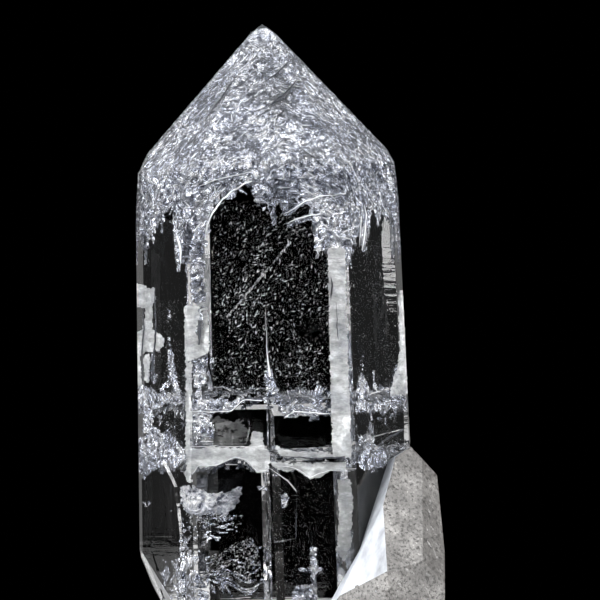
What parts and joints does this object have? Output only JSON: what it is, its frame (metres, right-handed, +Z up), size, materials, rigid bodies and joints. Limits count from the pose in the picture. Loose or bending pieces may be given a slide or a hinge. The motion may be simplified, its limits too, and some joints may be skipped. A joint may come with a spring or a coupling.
{
  "type": "phantom quartz crystal",
  "caption": "Clear quartz point with a faceted tip, ledges of growth on its back and a smaller frosted crystal grown on its side, cut flat below to stand.",
  "frame": {"origin": "middle of the bounding box at the flat cut under the crystal", "axes": "+Z up along the crystal towards its tip, -Y towards the viewer, +X to the right, where the smaller crystal stands"},
  "size_m": [0.0384, 0.0352, 0.08],
  "materials": {
    "clear_quartz": "natural polished crystal faces, colourless and see-through, with silvery veils inside",
    "frosted_quartz": "etched and cloudy, warm light grey, with fine dark pits",
    "inner_veils": "silvery white healed cracks, flakes and specks sealed in the crystal"
  },
  "bodies": {
    "root": {"quartz_crystal": "clear_quartz"}
  },
  "joints": []
}
